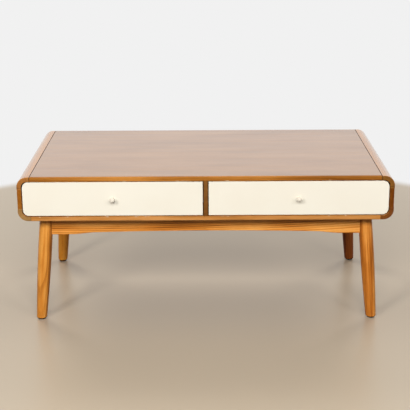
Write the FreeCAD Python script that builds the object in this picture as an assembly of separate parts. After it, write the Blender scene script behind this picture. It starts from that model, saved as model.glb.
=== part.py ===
"""Low coffee table with a round-cornered case, two drawers on ball slides and splayed turned legs.

Millimetres, +X to the right, +Y to the back, +Z up. The origin is the centre of the outer box at the floor.
"""
import FreeCAD
import Part
import math
import os

Vector = FreeCAD.Vector
UP = Vector(0, 0, 1)
TO_FRONT = Vector(0, -1, 0)

# Whole table
table_width = 1100.0
case_depth = 600.0
table_height = 455.0
case_height = 133.0

# Case boards and the solid quarter-round corner pieces
board_thickness = 13.0
side_board_step = 1.0
corner_size = 38.0
corner_outer_radius = 30.0
front_arris_radius = 2.5
back_arris_radius = 1.0
lipping_depth = 8.0
seam_width = 1.4
seam_depth = 1.0
tongue_thickness = 4.0
tongue_length = 6.0
tongue_stop = 25.0
divider_thickness = 12.0
housing_depth = 4.0
back_panel_thickness = 5.0
rebate_width = 6.0
rebate_depth = 6.0

# Drawer fronts and boxes
front_gap = 2.5
front_recess = 1.5
front_thickness = 18.0
front_corner_radius = 18.0
front_edge_radius = 1.5
box_side_thickness = 12.0
box_side_height = 85.0
box_depth = 500.0
box_clearance_below = 10.0
box_bottom_thickness = 5.0
box_bottom_lift = 8.0
box_groove_depth = 5.0
front_housing_depth = 6.0
box_edge_radius = 2.0
drawer_travel = 330.0

# Knobs
knob_length = 22.0
knob_head_diameter = 15.0
knob_neck_diameter = 8.0
knob_foot_diameter = 10.0
knob_neck_share = 0.30
knob_head_share = 0.72

# Ball slides
slide_length = 450.0
slide_thickness = 12.7
slide_setback = 1.5
sheet_thickness = 1.2
ball_diameter = 4.0
ball_clearance = 0.15
ball_row_height = 14.0
raceway_lip_angle = 15.0
cage_sheet_thickness = 0.6
cage_web_gap = 0.6
cage_length = 104.0
cage_hole_clearance = 0.2
cage_finger_reach = 0.8
balls_per_row = 5
ball_pitch = 20.0
stop_tab_length = 3.0
stop_tab_height = 6.0
stop_tab_gap = 0.8

# Legs and glides
leg_inset_x = 75.0
leg_inset_y = 65.0
leg_splay_x = 26.0
leg_splay_y = 25.0
leg_diameter = 41.0
leg_foot_round = 2.5
leg_belly_share = 0.45
leg_diameter_shares = (0.955, 0.985, 0.735)
glide_height = 4.0
glide_diameter = 23.0
glide_edge_radius = 1.0
glide_pin_diameter = 3.0
glide_pin_length = 14.0

# Aprons and corner blocks
apron_thickness = 20.0
apron_end_depth = 58.5
apron_pad_length = 65.0
apron_curve_run = 90.0
apron_curve_rise = 6.3
apron_arch_radius = 14000.0
apron_edge_radius = 1.5
tenon_thickness = 8.0
tenon_height = 36.0
tenon_top_shoulder = 10.0
tenon_axis_gap = 6.0
block_leg_length = 62.0
block_height = 40.0

# Screws
small_shank_diameter = 3.0
small_head_diameter = 6.5
small_head_depth = 1.8
small_screw_length = 9.0
frame_shank_diameter = 4.0
frame_head_diameter = 9.0
frame_head_height = 3.0
frame_grip_in_case = 9.0
knob_shank_diameter = 4.0
knob_screw_head_diameter = 9.0
knob_screw_head_height = 2.5
knob_screw_in_knob = 10.0
rail_screw_shares = (0.10, 0.52, 0.90)
runner_screw_shares = (0.05, 0.42, 0.88)
right_screw_shift_share = 0.04
back_screws_along = 5
back_screw_end_margin = 60.0
block_screw_share = 0.28

overrun = 5.0

# Places worked out from the sizes above
knob_reach = knob_length - front_recess
overall_depth = case_depth + knob_reach
half_width = table_width / 2
half_length = half_width - corner_size
case_front = -overall_depth / 2 + knob_reach
case_back = case_front + case_depth
case_middle_y = (case_front + case_back) / 2
case_top = table_height
case_bottom = table_height - case_height
inner_half_width = half_width - board_thickness
inner_top = case_top - board_thickness
inner_bottom = case_bottom + board_thickness
corner_inner_radius = corner_outer_radius - board_thickness
side_outer = half_width - side_board_step
back_panel_front = case_back - rebate_depth
half_divider = divider_thickness / 2

front_face = case_front + front_recess
front_back_face = front_face + front_thickness
box_low = inner_bottom + box_clearance_below
box_high = box_low + box_side_height
box_inner_end = half_divider + slide_thickness
box_outer_end = inner_half_width - slide_thickness
box_back = front_back_face + box_depth
knob_x = (half_divider + inner_half_width) / 2
knob_z = (inner_bottom + inner_top) / 2

slide_front = front_back_face + slide_setback
slide_middle_z = (inner_bottom + inner_top) / 2
ball_radius = ball_diameter / 2
race_inner = ball_radius + ball_clearance
race_outer = race_inner + sheet_thickness
ball_u = slide_thickness / 2
cage_start = (slide_length - drawer_travel - cage_length) / 2 + drawer_travel / 2

leg_height = case_bottom - glide_height
leg_top_x = half_width - leg_inset_x
leg_top_y = case_depth / 2 - leg_inset_y
apron_lean = (apron_end_depth / 2) / leg_height
apron_plane_x = leg_top_x + leg_splay_x * apron_lean
apron_plane_y = leg_top_y + leg_splay_y * apron_lean
leg_radius = leg_diameter / 2

nodes = {}


def keep(name, shape):
    """Record one node and return its shape."""
    nodes[name] = shape
    return shape


def span_box(xs, ys, zs):
    """A box between two ends on each axis, in either order."""
    x_low, x_high = sorted(xs)
    y_low, y_high = sorted(ys)
    z_low, z_high = sorted(zs)
    corner = Vector(x_low, y_low, z_low)
    return Part.makeBox(x_high - x_low, y_high - y_low, z_high - z_low, corner)


def rod(diameter, length, start, direction):
    """A plain cylinder from a start point along a direction."""
    return Part.makeCylinder(diameter / 2, length, start, direction)


def plane_arc(points):
    """An arc through three points (x, z) in the plane y = 0."""
    start, middle, end = [Vector(x, 0, z) for x, z in points]
    return Part.Arc(start, middle, end).toShape()


def plane_line(start, end):
    """A straight edge between two points (x, z) in the plane y = 0."""
    return Part.makeLine(Vector(start[0], 0, start[1]), Vector(end[0], 0, end[1]))


def on_circle(centre, radius, degrees):
    """The point (x, z) on a circle at an angle."""
    turn = math.radians(degrees)
    return (centre[0] + radius * math.cos(turn), centre[1] + radius * math.sin(turn))


def prism_along_y(edges, y_low, y_high):
    """Extrude a closed outline in the plane y = 0 between two depths."""
    face = Part.Face(Part.Wire(Part.__sortEdges__(edges)))
    face.translate(Vector(0, y_low, 0))
    return face.extrude(Vector(0, y_high - y_low, 0))


def rounded_plate(xs, zs, ys, radii):
    """A plate facing Y; radii are bottom left, bottom right, top right, top left, and may be zero."""
    x_low, x_high = sorted(xs)
    z_low, z_high = sorted(zs)
    low_left, low_right, top_right, top_left = radii
    corners = [
        ((x_low, z_low), low_left, (1, 1), 225),
        ((x_high, z_low), low_right, (-1, 1), 315),
        ((x_high, z_high), top_right, (-1, -1), 45),
        ((x_low, z_high), top_left, (1, -1), 135),
    ]
    edges = []
    joins = []
    for (x, z), radius, (side_x, side_z), middle_angle in corners:
        if radius == 0:
            joins.append(((x, z), (x, z)))
            continue
        centre = (x + side_x * radius, z + side_z * radius)
        start = on_circle(centre, radius, middle_angle - 45)
        middle = on_circle(centre, radius, middle_angle)
        end = on_circle(centre, radius, middle_angle + 45)
        edges.append(plane_arc((start, middle, end)))
        joins.append((start, end))
    for index, (first, last) in enumerate(joins):
        following = joins[(index + 1) % len(joins)][0]
        edges.append(plane_line(last, following))
    return prism_along_y(edges, min(ys), max(ys))


def edges_at_depth(shape, y, tolerance):
    """The edges of a shape that lie in the plane at one depth."""
    found = []
    for edge in shape.Edges:
        bounds = edge.BoundBox
        if abs(bounds.YMin - y) < tolerance and abs(bounds.YMax - y) < tolerance:
            found.append(edge)
    return found


def turned(profile, start, direction, seam_angle=0.0):
    """Turn a profile of edges in the XZ plane about Z, then stand it at start along direction."""
    face = Part.Face(Part.Wire(Part.__sortEdges__(profile)))
    solid = face.revolve(Vector(0, 0, 0), UP, 360)
    seam = FreeCAD.Rotation(UP, seam_angle)
    solid.Placement = FreeCAD.Placement(start, FreeCAD.Rotation(UP, direction) * seam)
    return solid


def screw(shank_diameter, head_diameter, head_height, length, seat, direction):
    """A screw whose head rests on the seat point and whose shank runs along the direction."""
    head = rod(head_diameter, head_height, seat, -direction)
    return head.fuse(rod(shank_diameter, length, seat, direction))


def small_screw(seat, direction):
    """The small countersunk screw that holds slides and the back panel, its head flush with its seat."""
    head = Part.makeCone(
        small_head_diameter / 2, small_shank_diameter / 2, small_head_depth, seat, direction)
    return head.fuse(rod(small_shank_diameter, small_screw_length, seat, direction))


def case_tube():
    """The whole round-cornered case as one tube, before it is parted into boards and corner pieces."""
    outer = rounded_plate(
        (-half_width, half_width), (case_bottom, case_top), (case_front, case_back),
        (corner_outer_radius,) * 4)
    near = front_arris_radius / 10
    outer = outer.makeFillet(front_arris_radius, edges_at_depth(outer, case_front, near))
    outer = outer.makeFillet(back_arris_radius, edges_at_depth(outer, case_back, near))
    hollow = rounded_plate(
        (-inner_half_width, inner_half_width), (inner_bottom, inner_top),
        (case_front - overrun, case_back + overrun), (corner_inner_radius,) * 4)
    return outer.cut(hollow)


def back_panel_plate(y_low, y_high):
    """The outline of the back panel, which lies in a rebate all round the case."""
    radius = corner_inner_radius + rebate_width
    return rounded_plate(
        (-inner_half_width - rebate_width, inner_half_width + rebate_width),
        (inner_bottom - rebate_width, inner_top + rebate_width),
        (y_low, y_high), (radius,) * 4)


def seam_groove(x, z, across, outward):
    """A shallow V along the case where a board meets a corner piece."""
    half = seam_width / 2
    depth = seam_depth
    if across == "x":
        points = [(x - half, z), (x + half, z), (x, z - outward * depth)]
    else:
        points = [(x, z - half), (x, z + half), (x - outward * depth, z)]
    edges = [plane_line(points[i], points[(i + 1) % 3]) for i in range(3)]
    return prism_along_y(edges, case_front - overrun, case_back + overrun)


def divider_board():
    """The middle board between the drawers, housed in the top and bottom boards behind their lippings."""
    shown = span_box(
        (-half_divider, half_divider), (case_front, back_panel_front), (inner_bottom, inner_top))
    housed = span_box(
        (-half_divider, half_divider), (case_front + lipping_depth, back_panel_front),
        (inner_bottom - housing_depth, inner_top + housing_depth))
    return shown.fuse(housed).removeSplitter()


def case_tongue(side, level):
    """Tongues on a flat board that run into the corner pieces: at the end of a top or bottom board."""
    middle = (case_top - board_thickness / 2) if level > 0 else (case_bottom + board_thickness / 2)
    return span_box(
        (side * (half_length - overrun), side * (half_length + tongue_length)),
        (case_front + tongue_stop, case_back - tongue_stop),
        (middle - tongue_thickness / 2, middle + tongue_thickness / 2))


def side_tongue(side, level):
    """The tongue at the top or bottom of a side board."""
    middle = side * (half_width - board_thickness / 2)
    edge = (case_top - corner_size) if level > 0 else (case_bottom + corner_size)
    return span_box(
        (middle - tongue_thickness / 2, middle + tongue_thickness / 2),
        (case_front + tongue_stop, case_back - tongue_stop),
        (edge - level * overrun, edge + level * tongue_length))


def make_case():
    """Top, bottom and side boards, four corner pieces, two lippings, the divider and the back panel."""
    tube = case_tube()
    tube = tube.cut(back_panel_plate(back_panel_front, case_back + overrun))
    for side in (-1, 1):
        for level, z in ((1, case_top), (-1, case_bottom)):
            tube = tube.cut(seam_groove(side * half_length, z, "x", level))
            edge = z - level * corner_size
            tube = tube.cut(seam_groove(side * half_width, edge, "z", side))
    divider = divider_board()
    long_ys = (case_front - overrun, case_back + overrun)

    for level, word, z in ((1, "top", case_top), (-1, "bottom", case_bottom)):
        band = (z + level * overrun, z - level * corner_size)
        strip = tube.common(span_box((-half_length, half_length), long_ys, band))
        cut_line = case_front + lipping_depth
        lipping = strip.common(span_box((-half_length, half_length), (long_ys[0], cut_line), band))
        panel = strip.common(span_box((-half_length, half_length), (cut_line, long_ys[1]), band))
        for side in (-1, 1):
            panel = panel.fuse(case_tongue(side, level))
        keep(word + "_panel", panel.cut(divider).removeSplitter())
        keep(word + "_front_lipping", lipping)
        for side, side_word in ((-1, "left"), (1, "right")):
            block = span_box((side * (half_width + overrun), side * half_length), long_ys, band)
            corner = tube.common(block)
            corner = corner.cut(case_tongue(side, level)).cut(side_tongue(side, level))
            keep(word + "_" + side_word + "_corner", corner)

    for side, side_word in ((-1, "left"), (1, "right")):
        upright = (case_bottom + corner_size, case_top - corner_size)
        slab = tube.common(
            span_box((side * side_outer, side * (inner_half_width - overrun)), long_ys, upright))
        for level in (-1, 1):
            slab = slab.fuse(side_tongue(side, level))
        keep(side_word + "_side_panel", slab.removeSplitter())

    keep("centre_divider", divider)
    keep("back_panel", back_panel_plate(back_panel_front, back_panel_front + back_panel_thickness))


def leg_axis_point(side_x, side_y, share):
    """A point on a leg's centre line, from the case (0) to the top of the glide (1)."""
    x = side_x * (leg_top_x + leg_splay_x * share)
    y = case_middle_y + side_y * (leg_top_y + leg_splay_y * share)
    return Vector(x, y, case_bottom - leg_height * share)


def leg_turning(side_x, side_y):
    """A leg as it comes off the lathe, one long swelling curve on its leaning axis, long at both ends.

    The seam of its surface faces the middle of the table, between the two tenons.
    """
    top = leg_axis_point(side_x, side_y, 0)
    foot = leg_axis_point(side_x, side_y, 1)
    along = foot - top
    length = along.Length
    extra = leg_diameter * along.cross(UP).Length / length
    heights = (-extra, length * leg_belly_share, length + extra)
    points = [Vector(leg_radius * share, 0, z) for share, z in zip(leg_diameter_shares, heights)]
    swell = Part.BSplineCurve()
    swell.interpolate(points)
    outline = [
        swell.toShape(),
        plane_line((points[-1].x, points[-1].z), (0, points[-1].z)),
        plane_line((0, points[-1].z), (0, points[0].z)),
        plane_line((0, points[0].z), (points[0].x, points[0].z)),
    ]
    return turned(outline, top, along, math.degrees(math.atan2(-side_y, -side_x)))


def trimmed_leg(turning):
    """Cut a turning level under the case and at the floor end, and soften the rim of its foot."""
    bounds = turning.BoundBox
    slab = span_box(
        (bounds.XMin - overrun, bounds.XMax + overrun), (bounds.YMin - overrun, bounds.YMax + overrun),
        (glide_height, case_bottom))
    leg = turning.common(slab)
    rim = [edge for edge in leg.Edges if edge.BoundBox.ZMax < glide_height + leg_foot_round / 10]
    return leg.makeFillet(leg_foot_round, rim)


def glide(side_x, side_y):
    """A round glide with its nail, under one leg."""
    foot = leg_axis_point(side_x, side_y, 1)
    disc = rod(glide_diameter, glide_height, Vector(foot.x, foot.y, 0), UP)
    rim = [edge for edge in disc.Edges if edge.BoundBox.ZMax < glide_height / 10]
    disc = disc.makeFillet(glide_edge_radius, rim)
    return disc.fuse(rod(glide_pin_diameter, glide_pin_length, foot, UP))


def apron_underside(half_span):
    """The lower edge of a rail along X: level pads at the ends, then arcs that turn up, back and over.

    The two arcs of the quick curve share one radius, and run smoothly into the long shallow arch.
    """
    low = case_bottom - apron_end_depth
    pad_end = half_span - apron_pad_length
    curve_end = pad_end - apron_curve_run
    shoulder = low + apron_curve_rise
    arch_sine = curve_end / apron_arch_radius
    arch_cosine = math.sqrt(1 - arch_sine ** 2)
    reach = apron_curve_run ** 2 + apron_curve_rise ** 2
    lift = (1 + arch_cosine) * apron_curve_rise - arch_sine * apron_curve_run
    bend = (lift + math.sqrt(lift ** 2 + 2 * (1 - arch_cosine) * reach)) / reach
    radius = 1 / bend
    steepest = math.acos((1 + arch_cosine - apron_curve_rise * bend) / 2)
    arch_slope = math.asin(arch_sine)

    def turning_up(slope):
        return (pad_end - radius * math.sin(slope), low + radius * (1 - math.cos(slope)))

    def turning_back(slope):
        return (curve_end + radius * (math.sin(slope) - arch_sine),
                shoulder + radius * (math.cos(slope) - arch_cosine))

    joint = turning_up(steepest)
    arch_end = (curve_end, shoulder)
    crown = (0, shoulder + apron_arch_radius * (1 - arch_cosine))
    edges = [plane_arc(((-curve_end, shoulder), crown, arch_end))]
    for side in (-1, 1):
        chain = (
            ((pad_end, low), turning_up(steepest / 2), joint),
            (joint, turning_back((steepest + arch_slope) / 2), arch_end),
        )
        for points in chain:
            edges.append(plane_arc([(side * x, z) for x, z in points]))
        edges.append(plane_line((side * half_span, low), (side * pad_end, low)))
    return edges


def apron_board(half_span, thickness):
    """A rail along X about the origin, with its shaped underside and a soft lower edge."""
    low = case_bottom - apron_end_depth
    edges = apron_underside(half_span)
    edges.append(plane_line((-half_span, case_bottom), (half_span, case_bottom)))
    for side in (-1, 1):
        edges.append(plane_line((side * half_span, case_bottom), (side * half_span, low)))
    board = prism_along_y(edges, -thickness / 2, thickness / 2)
    under = []
    for edge in board.Edges:
        bounds = edge.BoundBox
        if bounds.ZMax < case_bottom - apron_end_depth / 2 and bounds.XLength > bounds.YLength:
            under.append(edge)
    return board.makeFillet(apron_edge_radius, under)


def apron_tenon(half_span):
    """The tenons at both ends of a rail along X, as one bar between the leg axes."""
    reach = half_span - tenon_axis_gap
    top = case_bottom - tenon_top_shoulder
    half = tenon_thickness / 2
    return span_box((-reach, reach), (-half, half), (top - tenon_height, top))


def placed_rail(shape, side, along):
    """Stand a rail made about the origin between two legs."""
    shape = shape.copy()
    if along == "x":
        shape.translate(Vector(0, case_middle_y + side * apron_plane_y, 0))
    else:
        shape.rotate(Vector(0, 0, 0), UP, 90)
        shape.translate(Vector(side * apron_plane_x, case_middle_y, 0))
    return shape


def corner_block(side_x, side_y, leg):
    """A three-cornered glue block behind a leg, between two aprons."""
    corner_x = side_x * (apron_plane_x - apron_thickness / 2)
    corner_y = case_middle_y + side_y * (apron_plane_y - apron_thickness / 2)
    low = case_bottom - block_height
    points = [
        Vector(corner_x, corner_y, low),
        Vector(corner_x - side_x * block_leg_length, corner_y, low),
        Vector(corner_x, corner_y - side_y * block_leg_length, low),
        Vector(corner_x, corner_y, low),
    ]
    prism = Part.Face(Part.makePolygon(points)).extrude(Vector(0, 0, block_height))
    return prism.cut(leg)


def block_screw_place(side_x, side_y, turn):
    """Where a frame screw goes up through a corner block: one towards each apron."""
    along = block_leg_length * (1 - 2 * block_screw_share)
    aside = block_leg_length * block_screw_share
    step_x, step_y = (along, aside) if turn == 0 else (aside, along)
    x = side_x * (apron_plane_x - apron_thickness / 2 - step_x)
    y = case_middle_y + side_y * (apron_plane_y - apron_thickness / 2 - step_y)
    return Vector(x, y, case_bottom - block_height)


def make_base():
    """Four splayed legs with glides, four tenoned aprons, and four screwed corner blocks."""
    places = {
        "front_left": (-1, -1), "front_right": (1, -1), "back_left": (-1, 1), "back_right": (1, 1)}
    turnings = {name: leg_turning(*place) for name, place in places.items()}
    rails = {
        "front_apron": (apron_plane_x, -1, "x"), "back_apron": (apron_plane_x, 1, "x"),
        "left_apron": (apron_plane_y, -1, "y"), "right_apron": (apron_plane_y, 1, "y")}
    tenons = []
    for name, (half_span, side, along) in rails.items():
        board = placed_rail(apron_board(half_span, apron_thickness), side, along)
        tenon = placed_rail(apron_tenon(half_span), side, along)
        for turning in turnings.values():
            board = board.cut(turning)
        tenons.append(tenon)
        keep(name, board.fuse(tenon).removeSplitter())

    frame_screws = []
    bottom_panel = nodes["bottom_panel"]
    for name, (side_x, side_y) in places.items():
        pad = glide(side_x, side_y)
        leg = turnings[name]
        for tenon in tenons:
            leg = leg.cut(tenon)
        keep(name + "_leg", trimmed_leg(leg).cut(pad))
        keep(name + "_glide", pad)
        block = corner_block(side_x, side_y, turnings[name])
        for turn in (0, 1):
            seat = block_screw_place(side_x, side_y, turn)
            length = block_height + frame_grip_in_case
            fixing = screw(
                frame_shank_diameter, frame_head_diameter, frame_head_height, length, seat, UP)
            block = block.cut(fixing)
            bottom_panel = bottom_panel.cut(fixing)
            frame_screws.append(fixing)
        keep(name + "_corner_block", block)
    keep("bottom_panel", bottom_panel)
    keep("frame_screws", Part.makeCompound(frame_screws))


def rolled_channel(wall_x, facing, outside):
    """One rolled slide section: the cabinet rail lies outside the balls, the runner between them."""
    near, far = (race_outer, race_inner) if outside else (race_inner, race_outer)
    web_face = 0 if outside else slide_thickness
    web_inner = sheet_thickness if outside else slide_thickness - sheet_thickness
    way = 1 if outside else -1

    def at(u, v):
        return (wall_x + facing * u, slide_middle_z + v)

    def race_point(radius, degrees, level):
        u, v = on_circle((ball_u, ball_row_height), radius, degrees)
        return at(u, level * v)

    tip = -raceway_lip_angle if outside else 180 - raceway_lip_angle
    flat = 90 if outside else 270
    middle = (tip + flat) / 2
    edges = []
    for radius, web in ((near, web_face), (far, web_inner)):
        height = ball_row_height + way * radius
        edges.append(plane_line(at(web, -height), at(web, height)))
        for level in (-1, 1):
            edges.append(plane_line(at(web, level * height), race_point(radius, flat, level)))
            arc = [race_point(radius, angle, level) for angle in (flat, middle, tip)]
            edges.append(plane_arc(arc))
    for level in (-1, 1):
        edges.append(plane_line(race_point(near, tip, level), race_point(far, tip, level)))
    section = prism_along_y(edges, slide_front, slide_front + slide_length)
    return section.fuse(stop_tab(wall_x, facing, outside)).removeSplitter()


def stop_tab(wall_x, facing, outside):
    """The tab that stops the cage: at the front of the cabinet rail, at the back of the runner."""
    if outside:
        cage_far_face = sheet_thickness + cage_web_gap + cage_sheet_thickness
        reach = (sheet_thickness / 2, cage_far_face + stop_tab_gap)
        start = slide_front
    else:
        reach = (sheet_thickness + stop_tab_gap, slide_thickness - sheet_thickness / 2)
        start = slide_front + slide_length - stop_tab_length
    half = stop_tab_height / 2
    return span_box(
        (wall_x + facing * reach[0], wall_x + facing * reach[1]),
        (start, start + stop_tab_length), (slide_middle_z - half, slide_middle_z + half))


def ball_places(facing, wall_x):
    """The centres of the balls of one slide, in two rows."""
    places = []
    first = slide_front + cage_start + (cage_length - ball_pitch * (balls_per_row - 1)) / 2
    for level in (-1, 1):
        for index in range(balls_per_row):
            y = first + ball_pitch * index
            places.append(Vector(wall_x + facing * ball_u, y, slide_middle_z + level * ball_row_height))
    return places


def ball_cage(wall_x, facing):
    """The thin cage of one slide: a web between the sections, with fingers between the balls."""
    lip_tip = race_outer * math.sin(math.radians(raceway_lip_angle))
    middle = (lip_tip + race_inner) / 2
    low = ball_row_height + middle - cage_sheet_thickness / 2
    high = low + cage_sheet_thickness
    web = sheet_thickness + cage_web_gap
    reach = ball_u + cage_finger_reach
    ys = (slide_front + cage_start, slide_front + cage_start + cage_length)

    def strip(u_low, u_high, v_low, v_high):
        xs = (wall_x + facing * u_low, wall_x + facing * u_high)
        return span_box(xs, ys, (slide_middle_z + v_low, slide_middle_z + v_high))

    cage = strip(web, web + cage_sheet_thickness, -high, high)
    cage = cage.fuse(strip(web, reach, low, high)).fuse(strip(web, reach, -high, -low))
    hole = ball_diameter + 2 * cage_hole_clearance
    for centre in ball_places(facing, wall_x):
        start = centre - UP * ball_diameter
        cage = cage.cut(rod(hole, ball_diameter * 2, start, UP))
    return cage.removeSplitter()


def slide_screws(shares, x, direction):
    """Three small screws along one slide section, driven along X."""
    fixings = []
    for share in shares:
        seat = Vector(x, slide_front + slide_length * share, slide_middle_z)
        fixings.append(small_screw(seat, Vector(direction, 0, 0)))
    return fixings


def make_slides(word, side):
    """Two ball slides of one drawer: rails on the case, runners on the drawer box, cages and balls.

    The right-hand rails are screwed a little further back, so that the divider's screws miss each other.
    """
    rail_screws = []
    runner_screws = []
    cages = []
    balls = []
    walls = (("inner", side * half_divider, side), ("outer", side * inner_half_width, -side))
    for end_word, wall_x, facing in walls:
        rail = rolled_channel(wall_x, facing, True)
        runner = rolled_channel(wall_x, facing, False)
        rail_shares = rail_screw_shares
        if side > 0:
            rail_shares = [share + right_screw_shift_share for share in rail_screw_shares]
        rail_fixings = slide_screws(rail_shares, wall_x + facing * sheet_thickness, -facing)
        runner_face = wall_x + facing * (slide_thickness - sheet_thickness)
        runner_fixings = slide_screws(runner_screw_shares, runner_face, facing)
        for fixing in rail_fixings:
            rail = rail.cut(fixing)
        for fixing in runner_fixings:
            runner = runner.cut(fixing)
        keep("%s_drawer_%s_rail" % (word, end_word), rail)
        keep("%s_drawer_%s_runner" % (word, end_word), runner)
        rail_screws += rail_fixings
        runner_screws += runner_fixings
        cages.append(ball_cage(wall_x, facing))
        balls += [Part.makeSphere(ball_radius, centre) for centre in ball_places(facing, wall_x)]
    keep(word + "_ball_cages", Part.makeCompound(cages))
    keep(word + "_slide_balls", Part.makeCompound(balls))
    return rail_screws, runner_screws


def knob(side):
    """A small round knob, waisted between its foot and its domed head."""
    foot = knob_foot_diameter / 2
    neck = knob_neck_diameter / 2
    head = knob_head_diameter / 2
    neck_z = knob_length * knob_neck_share
    head_z = knob_length * knob_head_share
    dome_height = knob_length - head_z
    dome_radius = (head ** 2 + dome_height ** 2) / (2 * dome_height)
    dome_centre = (0, knob_length - dome_radius)
    rim_angle = math.degrees(math.acos(head / dome_radius))
    dome_middle = on_circle(dome_centre, dome_radius, (rim_angle + 90) / 2)
    outline = [
        plane_line((0, 0), (foot, 0)),
        plane_arc(((foot, 0), (neck, neck_z), (head, head_z))),
        plane_arc(((head, head_z), dome_middle, (0, knob_length))),
        plane_line((0, knob_length), (0, 0)),
    ]
    return turned(outline, Vector(side * knob_x, front_face, knob_z), TO_FRONT)


def drawer_front_plate(side):
    """An inset front: rounded where it meets the case corners, square beside the divider."""
    inner = half_divider + front_gap
    outer = inner_half_width - front_gap
    zs = (inner_bottom + front_gap, inner_top - front_gap)
    outer_corner = front_corner_radius
    radii = (0, outer_corner, outer_corner, 0) if side > 0 else (outer_corner, 0, 0, outer_corner)
    plate = rounded_plate((side * inner, side * outer), zs, (front_face, front_back_face), radii)
    return plate.makeFillet(front_edge_radius, edges_at_depth(plate, front_face, front_edge_radius / 10))


def soft_top(board):
    """Round over the long top edges of one board of a drawer box."""
    long_edges = []
    for edge in board.Edges:
        if edge.BoundBox.ZMin > box_high - box_edge_radius and edge.Length > 2 * box_side_thickness:
            long_edges.append(edge)
    return board.makeFillet(box_edge_radius, long_edges)


def make_drawer(word, side, runner_screws):
    """Front, two sides, back and bottom of one drawer box, its knob, and the screws that hold them."""
    front = drawer_front_plate(side)
    zs = (box_low, box_high)
    inner_side = span_box(
        (side * box_inner_end, side * (box_inner_end + box_side_thickness)),
        (front_back_face - front_housing_depth, box_back), zs)
    inner_side = soft_top(inner_side)
    outer_side = span_box(
        (side * (box_outer_end - box_side_thickness), side * box_outer_end),
        (front_back_face - front_housing_depth, box_back), zs)
    outer_side = soft_top(outer_side)
    back = span_box(
        (side * (box_inner_end + box_side_thickness), side * (box_outer_end - box_side_thickness)),
        (box_back - box_side_thickness, box_back), zs)
    back = soft_top(back)
    groove = box_groove_depth
    bottom_low = box_low + box_bottom_lift
    bottom = span_box(
        (side * (box_inner_end + box_side_thickness - groove),
         side * (box_outer_end - box_side_thickness + groove)),
        (front_back_face - groove, box_back - box_side_thickness + groove),
        (bottom_low, bottom_low + box_bottom_thickness))
    pull = knob(side)
    seat = Vector(side * knob_x, front_back_face, knob_z)
    length = front_thickness + knob_screw_in_knob
    knob_screw = screw(
        knob_shank_diameter, knob_screw_head_diameter, knob_screw_head_height, length, seat, TO_FRONT)
    front = front.cut(inner_side).cut(outer_side).cut(bottom).cut(knob_screw)
    inner_side = inner_side.cut(bottom)
    outer_side = outer_side.cut(bottom)
    for fixing in runner_screws:
        inner_side = inner_side.cut(fixing)
        outer_side = outer_side.cut(fixing)
    keep(word + "_drawer_front", front)
    keep(word + "_drawer_inner_side", inner_side)
    keep(word + "_drawer_outer_side", outer_side)
    keep(word + "_drawer_back", back.cut(bottom))
    keep(word + "_drawer_bottom", bottom)
    keep(word + "_drawer_knob", pull.cut(knob_screw))
    keep(word + "_knob_screw", knob_screw)
    keep(word + "_runner_screws", Part.makeCompound(runner_screws))


def back_panel_screws():
    """Screws along the top and bottom rebates that hold the back panel."""
    fixings = []
    y = back_panel_front + back_panel_thickness
    span = 2 * (inner_half_width - back_screw_end_margin)
    for z in (inner_top + rebate_width / 2, inner_bottom - rebate_width / 2):
        for index in range(back_screws_along):
            x = -span / 2 + span * index / (back_screws_along - 1)
            fixings.append(small_screw(Vector(x, y, z), TO_FRONT))
    return fixings


def make_case_screws(rail_screws):
    """Drive the rail screws and the back panel screws into the case."""
    panel_screws = back_panel_screws()
    for name in ("left_side_panel", "right_side_panel", "centre_divider"):
        board = nodes[name]
        for fixing in rail_screws:
            board = board.cut(fixing)
        keep(name, board)
    for name in ("top_panel", "bottom_panel", "back_panel", "centre_divider"):
        board = nodes[name]
        for fixing in panel_screws:
            board = board.cut(fixing)
        keep(name, board)
    keep("slide_rail_screws", Part.makeCompound(rail_screws))
    keep("back_panel_screws", Part.makeCompound(panel_screws))


def build():
    """Build every node and write one file for each."""
    make_case()
    make_base()
    rail_screws = []
    for word, side in (("left", -1), ("right", 1)):
        rail_fixings, runner_fixings = make_slides(word, side)
        rail_screws += rail_fixings
        make_drawer(word, side, runner_fixings)
    make_case_screws(rail_screws)
    os.makedirs("parts", exist_ok=True)
    for name, shape in nodes.items():
        shape.exportStep("parts/%s.step" % name)
    print(len(nodes), "nodes written")


build()
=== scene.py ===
"""The finish of a low coffee table: round-cornered case, two cream drawers and splayed turned legs."""
import bmesh
import bpy
import math
from mathutils import Matrix, Vector


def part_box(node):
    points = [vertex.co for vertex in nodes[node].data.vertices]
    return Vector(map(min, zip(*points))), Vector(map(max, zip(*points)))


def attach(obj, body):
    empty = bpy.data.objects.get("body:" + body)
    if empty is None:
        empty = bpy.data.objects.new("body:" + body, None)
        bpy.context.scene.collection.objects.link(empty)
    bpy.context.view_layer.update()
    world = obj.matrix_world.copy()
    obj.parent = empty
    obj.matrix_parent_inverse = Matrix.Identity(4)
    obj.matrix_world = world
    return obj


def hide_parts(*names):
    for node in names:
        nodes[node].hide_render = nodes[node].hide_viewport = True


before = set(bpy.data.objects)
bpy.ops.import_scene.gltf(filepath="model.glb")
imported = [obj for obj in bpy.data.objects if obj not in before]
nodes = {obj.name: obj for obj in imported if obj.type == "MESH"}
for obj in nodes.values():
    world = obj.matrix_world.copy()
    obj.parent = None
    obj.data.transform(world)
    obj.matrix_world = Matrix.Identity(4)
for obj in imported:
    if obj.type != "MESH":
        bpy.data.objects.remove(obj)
bpy.context.view_layer.update()


# Top and bottom boards
# Two flat boards that close the case above and below, faced with a straight brown veneer.
# Their grain runs the length of the table, and the top has a coat of satin lacquer.
def node(tree, kind, inputs=(), **options):
    """Add a node, set its options, and give its sockets values or the outputs of other nodes."""
    made = tree.nodes.new(kind)
    for name, value in options.items():
        setattr(made, name, value)
    for name, value in dict(inputs).items():
        socket = made.inputs[name]
        if isinstance(value, bpy.types.NodeSocket):
            tree.links.new(value, socket)
        else:
            socket.default_value = value
    return made


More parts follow.
